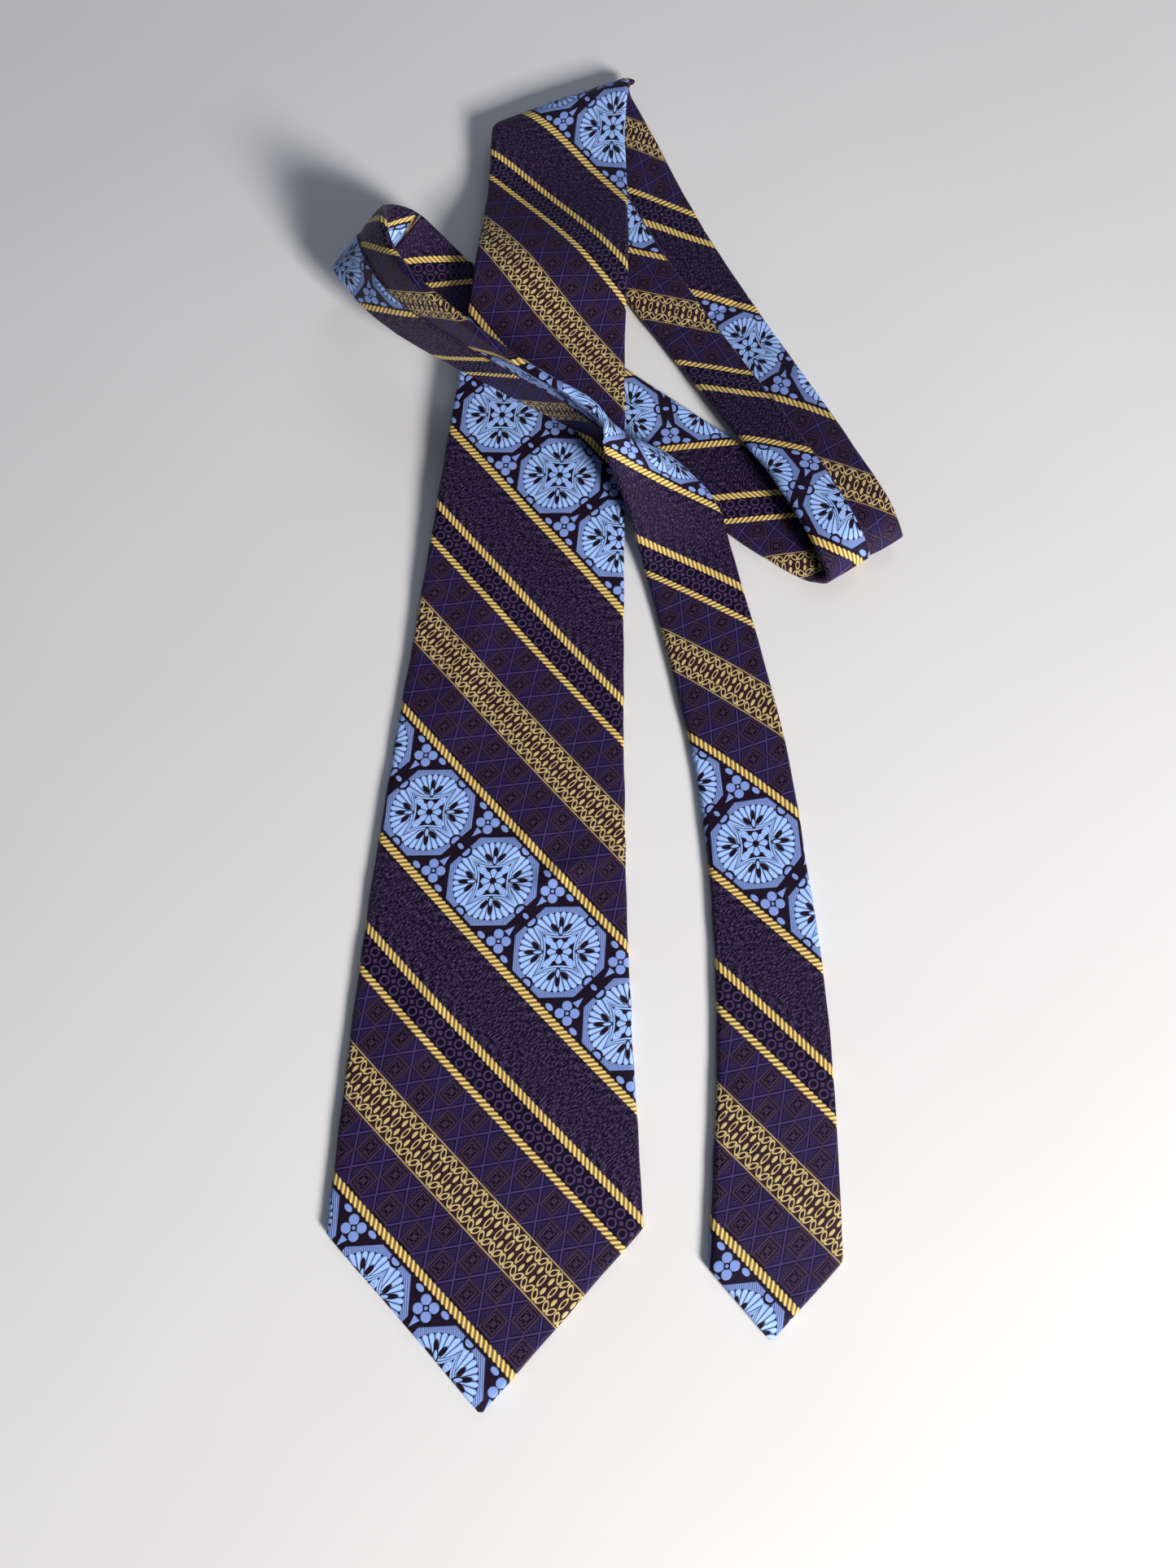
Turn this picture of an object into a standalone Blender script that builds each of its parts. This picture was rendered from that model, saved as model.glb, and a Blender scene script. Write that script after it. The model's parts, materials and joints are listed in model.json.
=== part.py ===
"""A necktie laid down in loose folds, built the way a tie is sewn.

The patterned shell is one long envelope: a face, two rolled edges and two back flaps that
meet in a slit.  An interlining lies inside it, a tipping lines each pointed end, one thread
slip-stitches the slit and a bar tack stops it at each end, and a keeper loop is sewn
across the back of the wide blade.  The strip runs from the blade tip, up the blade, under
at the top fold, down to the right-hand curl, back under the blade, around the left-hand
curl, over the blade on its edge, through a half twist and down to the tip of the narrow end.

Metres, +Z up.  The tie lies on z = 0 with the blade's face upwards and its tip towards -Y.
"""
import math

import bmesh
import bpy
import numpy as np

# ---- Driving dimensions --------------------------------------------------------------
TIE_LENGTH = 1.424          # along the centreline, from tip to tip
BLADE_WIDTH = 0.0985        # across the shoulders of the wide blade
BLADE_POINT = 0.0515        # blade shoulders to blade tip
WAIST_WIDTH = 0.0605        # where the blade has become slender
FOLD_WIDTH = 0.0520         # where the blade turns under at the top fold
NECK_WIDTH = 0.0330         # the narrow middle
WIDER_NECK = NECK_WIDTH - 0.0330   # more than the neck that the stations were laid for
TAIL_WIDTH = 0.0415         # across the shoulders of the narrow end
TAIL_POINT = 0.0220         # tail shoulders to tail tip
CLOTH = 0.0005              # patterned cloth
LINING = 0.0009             # wool interlining
TIPPING = 0.0002            # plain lining silk in the pointed ends
GAP = 0.0003                # clearance between pieces that touch
THICKNESS = 2 * CLOTH + LINING + TIPPING + 3 * GAP   # the whole strip, lying flat: 3 mm
SLIT = 0.0014               # between the two back flaps
THREAD = 0.0005             # slip stitch
HEM = 0.0170                # turned-in margin beside the open back of each point
SEAM_GAP = 0.0010           # between two shell pieces at a joining seam
SEAM_THREAD = 0.0004
SEAM_SINK = 0.0001          # seam stitching below the face
HINGE_GAP = 0.0004          # between the lying and the lifting stretch of a shell
TIP_BLUNT = 0.0013          # the point is this much short of its theoretical tip
TIP_FULL = 0.0060           # half width from which a point has its full thickness
THREAD_RISE = 0.0001        # slip stitch and tacks above the back face
TIPPING_PAST = 0.0150       # the tipping runs this far past the bar tack

# Distances along the centreline, from the nearer tip.
BLADE_HINGE = 0.2100
TAIL_HINGE = 0.2100
BLADE_TACK = 0.1050
TAIL_TACK = 0.0700
TACK_LENGTH = 0.0060
KEEPER_AT = 0.2760
KEEPER_LENGTH = 0.0400      # across the blade
KEEPER_WIDTH = 0.0100
KEEPER_CLOTH = 0.0004
KEEPER_BOW = 0.0004
KEEPER_STITCH = 0.0012
WAIST_AT = 0.3750           # blade tip to where the blade has become slender
FOLD_AT = 0.4950            # blade tip to the top fold
NECK_FROM = 0.6900          # blade tip to where the strip has become narrow
TAIL_FROM = 0.1500          # tail tip to where the strip starts to widen again
BLADE_SEAM = 0.6100         # blade tip to the blade and neck seam
TAIL_SEAM = 0.4700          # tail tip to the neck and tail seam
LINING_JOIN = 0.0120        # the interlining changes this far past the blade and neck seam

# The way the strip lies.  One row a station: x and y of the centreline in metres, the
# number of layers under the strip's lower edge, and the direction across the strip, from
# its left edge to its right edge seen on the blade's face: azimuth and upward tilt in degrees.
STATIONS = [
    (-0.0405, -0.2490, 0.0, 0, 0),        # blade tip
    (-0.0404, -0.1975, 0.0, 1, 0),        # shoulders
    (-0.0392, -0.1100, 0.0, -1, 0),
    (-0.0358, -0.0380, 0.0, -2, 0),       # blade hinge
    (-0.0333, 0.0000, 0.2, -3, 0),
    (-0.0308, 0.0350, 0.9, -3, 0),
    (-0.0280, 0.0750, 1.8, -3, 0),        # over the returning neck
    (-0.0246, 0.1250, 2.5, -2, 0),
    (-0.0220, 0.1580, 3.5, 0, 0),         # soft hump
    (-0.0208, 0.1900, 2.6, 5, 0),
    (-0.0206, 0.2180, 2.4, 16, 0),
    (-0.0192, 0.2347, 2.2, 23, 0),        # top fold
    (-0.0180, 0.2394, 1.1, 24, 0),
    (-0.0146, 0.2367, 0.0, 25, 0),
    (-0.0050, 0.2180, 0.0, 27, 0),        # under the blade
    (0.0180, 0.1700, 0.0, 28, 0),
    (0.0465, 0.1200, 0.4, 29, 0),
    (0.0600, 0.0950, 1.5, 27, 0),
    (0.0715, 0.0730, 2.6, 21, 0),         # over the returning neck
    (0.0825, 0.0510, 3.2, 24, 0),
    (0.0885, 0.0375, 2.9, 31, 0),
    (0.0912, 0.0320, 1.4, 33, 0),         # right-hand curl
    (0.0860, 0.0350, 0.0, 36, 0),
    (0.0660, 0.0470, 0.0, 46, 0),
    (0.0400, 0.0674, 0.0, 51, 0),
    (0.0050, 0.0941, 0.0, 51.5, 0),       # under the blade
    (-0.0455, 0.1332, 0.0, 51.5, 0),
    (-0.0670, 0.1505, 0.0, 51, 5),
    (-0.0830, 0.1610, 0.9, 46, 20),
    (-0.0940, 0.1580, 2.8, 28, 38),       # left-hand curl
    (-0.0920, 0.1440, 4.4, 0, 52),
    (-0.0820, 0.1270, 4.4, -18, 58),      # on its edge, over the blade
    (-0.0640, 0.1110, 4.2, -28, 60),
    (-0.0430, 0.0975, 3.9, -34, 61),
    (-0.0230, 0.0850, 3.5, -42, 64),
    (-0.0060, 0.0740, 3.1, -75, 72),      # half twist
    (0.0060, 0.0670, 2.3, -140, 55),
    (0.0155, 0.0600, 1.3, -172, 34),
    (0.0225, 0.0490 - WIDER_NECK, 1.1, -180, 16),
    (0.0275, 0.0340 - WIDER_NECK, 0.3, -184, 4),
    (0.0334, 0.0100, 0.0, -187, 0),
    (0.0390, -0.0150, 0.0, -188, 0),      # tail hinge
    (0.0443, -0.0420, 0.0, -186, 0),
    (0.0492, -0.0850, 0.0, -183, 0),
    (0.0516, -0.1300, 0.0, -180, 0),
    (0.0506, -0.1800, 0.0, -178, 0),
    (0.0492, -0.2070, 0.0, -177, 0),      # shoulders
    (0.0468, -0.2292, 0.0, -177, 0),      # tail tip
]
MIDDLE = (-0.0002, 0.0026)  # middle of the whole outline, as the stations count
LAYER = THICKNESS + GAP     # rise of one layer
STATION_LENGTH = 1.424      # along the centreline of the stations as they are listed
FINE_STEPS = 24             # points read from the curve between two stations
MAX_STEP = 0.030            # longest stretch between two rings of a solid
MOST_SKEW = 0.80            # least sine of the angle between the strip and a line across it
MIN_STEP = 0.0008           # no ring lies closer than this to a fixed one
END_STEP = 0.0002           # nor closer than this to a solid's own end
MAX_TURN = math.radians(11)  # most that the strip may turn between two rings
FULL_FROM_BLADE = TIP_FULL * BLADE_POINT / (BLADE_WIDTH / 2)
FULL_FROM_TAIL = TIP_FULL * TAIL_POINT / (TAIL_WIDTH / 2)


# ---- The lay of the strip --------------------------------------------------------------
def catmull_rom(rows, steps):
    """Centripetal Catmull-Rom curve through the rows, whose first three values are a place."""
    knots = [0.0]
    for before, after in zip(rows, rows[1:]):
        knots.append(knots[-1] + math.sqrt(np.linalg.norm(after[:3] - before[:3])))
    knots = [2 * knots[0] - knots[1], *knots, 2 * knots[-1] - knots[-2]]
    rows = [2 * rows[0] - rows[1], *rows, 2 * rows[-1] - rows[-2]]
    curve = []
    for i in range(1, len(rows) - 2):
        p0, p1, p2, p3 = rows[i - 1:i + 3]
        t0, t1, t2, t3 = knots[i - 1:i + 3]
        for step in range(steps):
            t = t1 + (t2 - t1) * step / steps
            a1 = (p0 * (t1 - t) + p1 * (t - t0)) / (t1 - t0)
            a2 = (p1 * (t2 - t) + p2 * (t - t1)) / (t2 - t1)
            a3 = (p2 * (t3 - t) + p3 * (t - t2)) / (t3 - t2)
            b1 = (a1 * (t2 - t) + a2 * (t - t0)) / (t2 - t0)
            b2 = (a2 * (t3 - t) + a3 * (t - t1)) / (t3 - t1)
            curve.append((b1 * (t2 - t) + b2 * (t - t1)) / (t2 - t1))
    curve.append(rows[-2])
    return np.array(curve)


def unit(vectors):
    return vectors / np.linalg.norm(vectors, axis=-1, keepdims=True)


def travelled(points):
    """Distance travelled along a row of points."""
    steps = np.linalg.norm(np.diff(points, axis=0), axis=1)
    return np.concatenate([[0.0], np.cumsum(steps)])


def strip_width(s, length):
    """Full width of the strip at distance s from the blade tip."""
    places = [0, BLADE_POINT, WAIST_AT, FOLD_AT, NECK_FROM,
              length - TAIL_FROM, length - TAIL_POINT, length]
    widths = [0, BLADE_WIDTH, WAIST_WIDTH, FOLD_WIDTH, NECK_WIDTH,
              NECK_WIDTH, TAIL_WIDTH, 0]
    return np.interp(s, places, widths)


class Lay:
    """Where the strip lies: centreline, direction across and normal by distance."""

    def __init__(self):
        table = np.array(STATIONS)
        spread = TIE_LENGTH / STATION_LENGTH
        azimuth, tilt = np.radians(table[:, 3]), np.radians(table[:, 4])
        across = np.stack([np.cos(tilt) * np.cos(azimuth), np.cos(tilt) * np.sin(azimuth),
                           np.sin(tilt)], axis=1)
        low = (table[:, :3] - (*MIDDLE, 0)) * (spread, spread, LAYER)
        # The direction is weighted by a width, so that places set the pace of the curve.
        rows = catmull_rom(np.hstack([low, across * NECK_WIDTH]), FINE_STEPS)
        low, self.across = rows[:, :3], unit(rows[:, 3:])
        low[:, 2] = np.maximum(low[:, 2], 0.0) + THICKNESS / 2
        self.s = travelled(low)
        # A tilted stretch stands on its lower edge.  Where the strip runs aslant to its own
        # across direction, skew widens the across step to keep its true width.
        self.skew = np.ones(len(low))
        self.stand_on(low)
        square = np.linalg.norm(np.cross(self.across, self.along), axis=1)
        self.skew = np.maximum(square, MOST_SKEW)
        self.stand_on(low)
        self.length = self.s[-1]

    def stand_on(self, low):
        """Sets the centreline over the lower edge, with its distances and direction."""
        half = strip_width(self.s, self.s[-1]) / 2 / self.skew
        self.centre = low + np.outer(half * np.abs(self.across[:, 2]), (0, 0, 1))
        self.s = travelled(self.centre)
        self.along = unit(np.gradient(self.centre, axis=0))

    def read(self, rows, s):
        return np.array([np.interp(s, self.s, rows[:, axis]) for axis in range(3)])

    def ring(self, s, profile):
        """The profile's points, across and normal to the strip, at distance s."""
        across = unit(self.read(self.across, s))
        along = unit(self.read(self.along, s))
        normal = unit(np.cross(across, along))
        skew = np.interp(s, self.s, self.skew)
        place = self.read(self.centre, s)
        return [place + across * (a / skew) + normal * b for a, b in profile]

    def turning(self, s):
        return np.array([unit(self.read(self.across, s)), unit(self.read(self.along, s))])

    def bend_places(self, fixed):
        """Places for rings all along the strip: the fixed ones, and where it bends or twists."""
        fixed = [0.0, *sorted(fixed), self.length]
        places = []
        for low, high in zip(fixed, fixed[1:]):
            places.append(low)
            last_place, last = low, self.turning(low)
            for s in self.s[(self.s > low + MIN_STEP) & (self.s < high - MIN_STEP)]:
                here = self.turning(s)
                turned = np.arccos(np.clip(np.sum(here * last, axis=1), -1, 1)).max()
                if turned > MAX_TURN or s - last_place > MAX_STEP:
                    places.append(s)
                    last_place, last = s, here
        return np.array([*places, self.length])


LAY = Lay()
LENGTH = LAY.length
BLADE_PIECES = [FULL_FROM_BLADE, BLADE_POINT, BLADE_TACK, BLADE_HINGE, BLADE_SEAM,
                BLADE_SEAM + LINING_JOIN, KEEPER_AT - KEEPER_WIDTH / 2,
                KEEPER_AT + KEEPER_WIDTH / 2]
TAIL_PIECES = [FULL_FROM_TAIL, TAIL_POINT, TAIL_TACK, TAIL_HINGE, TAIL_SEAM]
BENDS = LAY.bend_places(BLADE_PIECES + [LENGTH - place for place in TAIL_PIECES])


# ---- Cross-sections: (across, normal) points, the face at +THICKNESS / 2 --------------------
def half_width(s):
    return float(strip_width(s, LENGTH)) / 2


def fullness(s):
    """1 along the strip, less in the last few millimetres of each point."""
    return min(1.0, half_width(s) / TIP_FULL)


def from_tip(s):
    return min(s, LENGTH - s)


def slit_half(s):
    """Half the opening between the back flaps, which part below each bar tack."""
    closed = SLIT / 2 * fullness(s)
    tack, point = (BLADE_TACK, BLADE_POINT) if s < LENGTH / 2 else (TAIL_TACK, TAIL_POINT)
    away = from_tip(s)
    if away > tack:
        return closed
    hem = HEM * half_width_at_shoulder(s) / (BLADE_WIDTH / 2)
    if away < point:
        return max(closed, half_width(s) - hem)
    open_share = (tack - away) / (tack - point)
    return max(closed, open_share * (half_width_at_shoulder(s) - hem))


def half_width_at_shoulder(s):
    return (BLADE_WIDTH if s < LENGTH / 2 else TAIL_WIDTH) / 2


def shell_profile(s):
    """The envelope: slit, flap, rolled edge, face, rolled edge, flap, and back inside."""
    half, full, slit = half_width(s), fullness(s), slit_half(s)
    roll = THICKNESS / 2 * full
    cloth = CLOTH * full
    side = []
    inner = []
    flat = half - roll
    for out, rows in ((0.0, side), (cloth, inner)):
        level = roll - out
        rows += [(slit, -level), ((slit + flat) / 2, -level), (flat, -level)]
        rows += [(half - out, 0.0), (flat, level), (flat / 2, level)]
    outer = side + [(0.0, roll)] + [(-a, b) for a, b in reversed(side)]
    lining = inner + [(0.0, roll - cloth)] + [(-a, b) for a, b in reversed(inner)]
    return outer + lining[::-1]


def layer_profile(s, top, thickness):
    """A flat layer inside the envelope, from rolled edge to rolled edge."""
    flat = half_width(s) - THICKNESS / 2
    upper = [(a, top) for a in (GAP - flat, -flat / 2, 0, flat / 2, flat - GAP)]
    lower = [(a, top - thickness) for a, b in reversed(upper)]
    return upper + lower


def interlining_profile(s):
    return layer_profile(s, THICKNESS / 2 - CLOTH - GAP, LINING)


def tipping_profile(s):
    return layer_profile(s, TIPPING + GAP + CLOTH - THICKNESS / 2, TIPPING)


def thread_profile(s):
    """The slip stitch, sunk in the slit just above the back face."""
    level = THREAD / 2 + THREAD_RISE - THICKNESS / 2
    corners = [math.radians(45 + 90 * k) for k in range(4)]
    return [(THREAD / 2 * math.cos(t), level + THREAD / 2 * math.sin(t)) for t in corners]


def tack_profile(s):
    """A bar tack between the flap edges."""
    reach, low, high = SLIT / 2 - GAP, THREAD_RISE - THICKNESS / 2, CLOTH - THICKNESS / 2
    return [(-reach, low), (reach, low), (reach, high), (-reach, high)]


def seam_profile(s):
    """Stitching across the face at a joining seam."""
    half = half_width(s) - THICKNESS / 2
    high = THICKNESS / 2 - SEAM_SINK
    row = [(half * share, high) for share in (-1, -0.5, 0, 0.5, 1)]
    return row + [(a, b - SEAM_THREAD) for a, b in reversed(row)]


def keeper_profile(s):
    """The keeper loop under the blade's back, bowed away from it in the middle."""
    level = -THICKNESS / 2 - GAP
    shares = [-1, -0.6, 0, 0.6, 1]
    row = [(KEEPER_LENGTH / 2 * k, level - KEEPER_BOW * (1 - k * k)) for k in shares]
    return row + [(a, b - KEEPER_CLOTH) for a, b in reversed(row)]


def keeper_stitch_profile(side):
    """The stitching at one end of the keeper loop."""
    def profile(s):
        near = side * (KEEPER_LENGTH / 2 + GAP)
        far = near + side * KEEPER_STITCH
        high = -THICKNESS / 2 - GAP
        low = high - KEEPER_CLOTH
        return [(near, low), (far, low), (far, high), (near, high)]
    return profile


# ---- Solids --------------------------------------------------------------------------------
def material(name, colour, roughness):
    made = bpy.data.materials.new(name)
    made.use_nodes = True
    shader = made.node_tree.nodes["Principled BSDF"]
    shader.inputs["Base Color"].default_value = (*colour, 1)
    shader.inputs["Roughness"].default_value = roughness
    shader.inputs["Metallic"].default_value = 0.0
    return made


def sweep(name, profile, start, end, finish, hinge=None):
    """One closed solid: the profile carried along the strip from start to end."""
    inside = BENDS[(BENDS > start + END_STEP) & (BENDS < end - END_STEP)]
    rings = [LAY.ring(s, profile(s)) for s in (start, *inside, end)]
    size = len(rings[0])
    origin = hinge.location if hinge else (0, 0, 0)
    points = [tuple(np.array(point) - np.array(origin)) for ring in rings for point in ring]
    faces = []
    for i in range(size // 2 - 1):
        cap = [i, i + 1, size - 2 - i, size - 1 - i]
        faces += [cap, [len(points) - size + corner for corner in cap]]
    for row in range(len(rings) - 1):
        for i in range(size):
            here, beside = row * size + i, row * size + (i + 1) % size
            # One diagonal throughout, so that layers over each other bend alike.
            faces.append([here, beside + size, beside])
            faces.append([here, here + size, beside + size])
    mesh = bpy.data.meshes.new(name)
    mesh.from_pydata(points, [], faces)
    piece = bpy.data.objects.new(name, mesh)
    bpy.context.collection.objects.link(piece)
    mesh.materials.append(finish)
    turn_outward(mesh)
    mesh.shade_smooth()
    mesh.set_sharp_from_angle(angle=math.radians(40))
    piece.parent = hinge
    return piece


def turn_outward(mesh):
    work = bmesh.new()
    work.from_mesh(mesh)
    bmesh.ops.recalc_face_normals(work, faces=work.faces)
    work.to_mesh(mesh)
    work.free()


def hinge_empty(name, s):
    """An empty on the fold line across the strip's face at distance s."""
    empty = bpy.data.objects.new(name, None)
    empty.location = LAY.ring(s, [(0.0, THICKNESS / 2)])[0]
    bpy.context.collection.objects.link(empty)
    return empty


def build():
    for old in list(bpy.data.objects):
        bpy.data.objects.remove(old)
    cloth = material("jacquard_cloth", (0.045, 0.030, 0.075), 0.55)
    wool = material("interlining_wool", (0.62, 0.58, 0.50), 0.95)
    silk = material("tipping_silk", (0.05, 0.035, 0.08), 0.45)
    thread = material("sewing_thread", (0.06, 0.045, 0.08), 0.7)

    blade_hinge, tail_hinge = BLADE_HINGE, LENGTH - TAIL_HINGE
    blade_seam, tail_seam = BLADE_SEAM, LENGTH - TAIL_SEAM
    blade_tack, tail_tack = BLADE_TACK, LENGTH - TAIL_TACK
    lining_join = BLADE_SEAM + LINING_JOIN
    blade_lift = hinge_empty("blade_lift_axis", blade_hinge)
    tail_lift = hinge_empty("tail_lift_axis", tail_hinge)
    part, seam, clear = HINGE_GAP / 2, SEAM_GAP / 2, GAP / 2
    tip, end = TIP_BLUNT, LENGTH - TIP_BLUNT

    sweep("blade_shell_lower", shell_profile, tip, blade_hinge - part, cloth, blade_lift)
    sweep("blade_shell_upper", shell_profile, blade_hinge + part, blade_seam - seam, cloth)
    sweep("neck_shell", shell_profile, blade_seam + seam, tail_seam - seam, cloth)
    sweep("tail_shell_upper", shell_profile, tail_seam + seam, tail_hinge - part, cloth)
    sweep("tail_shell_lower", shell_profile, tail_hinge + part, end, cloth, tail_lift)

    inside, inside_end = FULL_FROM_BLADE + GAP, LENGTH - FULL_FROM_TAIL - GAP
    sweep("blade_interlining_lower", interlining_profile, inside, blade_hinge - part, wool,
          blade_lift)
    sweep("blade_interlining_upper", interlining_profile, blade_hinge + part,
          lining_join - clear, wool)
    sweep("tail_interlining_upper", interlining_profile, lining_join + clear,
          tail_hinge - part, wool)
    sweep("tail_interlining_lower", interlining_profile, tail_hinge + part, inside_end, wool,
          tail_lift)
    sweep("blade_tipping", tipping_profile, inside, blade_tack + TIPPING_PAST, silk,
          blade_lift)
    sweep("tail_tipping", tipping_profile, tail_tack - TIPPING_PAST, inside_end, silk,
          tail_lift)

    tack_end = blade_tack + TACK_LENGTH
    tail_tack_end = tail_tack - TACK_LENGTH
    sweep("blade_bar_tack", tack_profile, blade_tack, tack_end, thread, blade_lift)
    sweep("tail_bar_tack", tack_profile, tail_tack_end, tail_tack, thread, tail_lift)
    sweep("slip_stitch_blade", thread_profile, tack_end + GAP, blade_hinge - part, thread,
          blade_lift)
    sweep("slip_stitch_middle", thread_profile, blade_hinge + part, tail_hinge - part, thread)
    sweep("slip_stitch_tail", thread_profile, tail_hinge + part, tail_tack_end - GAP, thread,
          tail_lift)
    stitch = SEAM_THREAD / 2
    sweep("blade_neck_seam", seam_profile, blade_seam - stitch / 2, blade_seam + stitch / 2,
          thread)
    sweep("neck_tail_seam", seam_profile, tail_seam - stitch / 2, tail_seam + stitch / 2,
          thread)

    keeper_from, keeper_to = KEEPER_AT - KEEPER_WIDTH / 2, KEEPER_AT + KEEPER_WIDTH / 2
    sweep("keeper_loop", keeper_profile, keeper_from, keeper_to, cloth)
    for name, side in (("keeper_stitch_left", -1), ("keeper_stitch_right", 1)):
        sweep(name, keeper_stitch_profile(side), keeper_from, keeper_to, thread)


build()
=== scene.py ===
"""Looks of the necktie: woven cloth, linings, threads, keeper loop, floor, light and camera.

Each soft CAD solid is replaced by a finer piece that lies along the same strip.  The strip's
stations and widths repeat those of the CAD source, in metres; the woven pattern is counted
in millimetres along and across the cloth's own bands.
"""
import json
import math

import bmesh
import bpy
import numpy as np
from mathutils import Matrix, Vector

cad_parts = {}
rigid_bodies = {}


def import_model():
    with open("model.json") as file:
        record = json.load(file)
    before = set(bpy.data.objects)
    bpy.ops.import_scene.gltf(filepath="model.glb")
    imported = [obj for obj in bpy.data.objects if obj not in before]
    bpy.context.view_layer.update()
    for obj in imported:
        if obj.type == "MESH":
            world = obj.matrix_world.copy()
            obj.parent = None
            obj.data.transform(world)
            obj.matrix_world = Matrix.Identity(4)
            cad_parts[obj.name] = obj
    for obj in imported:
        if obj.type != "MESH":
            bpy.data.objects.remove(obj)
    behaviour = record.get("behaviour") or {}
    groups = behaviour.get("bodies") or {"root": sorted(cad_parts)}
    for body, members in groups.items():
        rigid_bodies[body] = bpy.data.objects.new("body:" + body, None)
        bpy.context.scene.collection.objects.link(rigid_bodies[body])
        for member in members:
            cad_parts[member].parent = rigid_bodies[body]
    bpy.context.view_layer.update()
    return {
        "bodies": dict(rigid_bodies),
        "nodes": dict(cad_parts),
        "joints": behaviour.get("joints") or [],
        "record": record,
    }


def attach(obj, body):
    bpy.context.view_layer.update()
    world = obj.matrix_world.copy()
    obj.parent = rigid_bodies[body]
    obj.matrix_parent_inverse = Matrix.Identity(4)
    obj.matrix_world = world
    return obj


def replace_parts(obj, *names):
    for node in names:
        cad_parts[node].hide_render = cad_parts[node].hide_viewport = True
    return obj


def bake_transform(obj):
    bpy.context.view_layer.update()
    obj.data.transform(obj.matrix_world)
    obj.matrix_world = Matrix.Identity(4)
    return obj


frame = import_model()

# ---- The strip, as the CAD source has it ------------------------------------------------
TIE_LENGTH = 1.424
BLADE_WIDTH = 0.0985
BLADE_POINT = 0.0515
WAIST_WIDTH = 0.0605
WAIST_AT = 0.3750
FOLD_WIDTH = 0.0520
FOLD_AT = 0.4950
NECK_WIDTH = 0.0330
WIDER_NECK = NECK_WIDTH - 0.0330
NECK_FROM = 0.6900
TAIL_WIDTH = 0.0415
TAIL_POINT = 0.0220
TAIL_FROM = 0.1500
CLOTH = 0.0005
LINING = 0.0009
TIPPING = 0.0002
GAP = 0.0003
THICKNESS = 2 * CLOTH + LINING + TIPPING + 3 * GAP
LAYER = THICKNESS + GAP
SLIT = 0.0014
HEM = 0.0170
TIP_BLUNT = 0.0008          # a point starts this far from its theoretical tip
TIP_FULL = 0.0060
BLADE_HINGE = 0.2100
TAIL_HINGE = 0.2100
BLADE_TACK = 0.1050
TAIL_TACK = 0.0700
TACK_LENGTH = 0.0060
TIPPING_PAST = 0.0150
BLADE_SEAM = 0.6100
TAIL_SEAM = 0.4700
LINING_JOIN = 0.0120
KEEPER_AT = 0.2760
KEEPER_LENGTH = 0.0400
KEEPER_WIDTH = 0.0100
KEEPER_CLOTH = 0.0004
KEEPER_BOW = 0.0004
MIDDLE = (-0.0002, 0.0026)
STATION_LENGTH = 1.424
FINE_STEPS = 24
MOST_SKEW = 0.80

# x, y, layers under the lower edge, azimuth and upward tilt of the across direction.
STATIONS = [
    (-0.0405, -0.2490, 0.0, 0, 0),        # blade tip
    (-0.0404, -0.1975, 0.0, 1, 0),
    (-0.0392, -0.1100, 0.0, -1, 0),
    (-0.0358, -0.0380, 0.0, -2, 0),
    (-0.0333, 0.0000, 0.2, -3, 0),
    (-0.0308, 0.0350, 0.9, -3, 0),
    (-0.0280, 0.0750, 1.8, -3, 0),
    (-0.0246, 0.1250, 2.5, -2, 0),
    (-0.0220, 0.1580, 3.5, 0, 0),         # soft hump
    (-0.0208, 0.1900, 2.6, 5, 0),
    (-0.0206, 0.2180, 2.4, 16, 0),
    (-0.0192, 0.2347, 2.2, 23, 0),        # top fold
    (-0.0180, 0.2394, 1.1, 24, 0),
    (-0.0146, 0.2367, 0.0, 25, 0),
    (-0.0050, 0.2180, 0.0, 27, 0),
    (0.0180, 0.1700, 0.0, 28, 0),
    (0.0465, 0.1200, 0.4, 29, 0),
    (0.0600, 0.0950, 1.5, 27, 0),
    (0.0715, 0.0730, 2.6, 21, 0),
    (0.0825, 0.0510, 3.2, 24, 0),
    (0.0885, 0.0375, 2.9, 31, 0),
    (0.0912, 0.0320, 1.4, 33, 0),         # right-hand curl
    (0.0860, 0.0350, 0.0, 36, 0),
    (0.0660, 0.0470, 0.0, 46, 0),
    (0.0400, 0.0674, 0.0, 51, 0),
    (0.0050, 0.0941, 0.0, 51.5, 0),
    (-0.0455, 0.1332, 0.0, 51.5, 0),
    (-0.0670, 0.1505, 0.0, 51, 5),
    (-0.0830, 0.1610, 0.9, 46, 20),
    (-0.0940, 0.1580, 2.8, 28, 38),       # left-hand curl
    (-0.0920, 0.1440, 4.4, 0, 52),
    (-0.0820, 0.1270, 4.4, -18, 58),
    (-0.0640, 0.1110, 4.2, -28, 60),
    (-0.0430, 0.0975, 3.9, -34, 61),
    (-0.0230, 0.0850, 3.5, -42, 64),
    (-0.0060, 0.0740, 3.1, -75, 72),      # half twist
    (0.0060, 0.0670, 2.3, -140, 55),
    (0.0155, 0.0600, 1.3, -172, 34),
    (0.0225, 0.0490 - WIDER_NECK, 1.1, -180, 16),
    (0.0275, 0.0340 - WIDER_NECK, 0.3, -184, 4),
    (0.0334, 0.0100, 0.0, -187, 0),
    (0.0390, -0.0150, 0.0, -188, 0),
    (0.0443, -0.0420, 0.0, -186, 0),
    (0.0492, -0.0850, 0.0, -183, 0),
    (0.0516, -0.1300, 0.0, -180, 0),
    (0.0506, -0.1800, 0.0, -178, 0),
    (0.0492, -0.2070, 0.0, -177, 0),
    (0.0468, -0.2292, 0.0, -177, 0),      # tail tip
]

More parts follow.
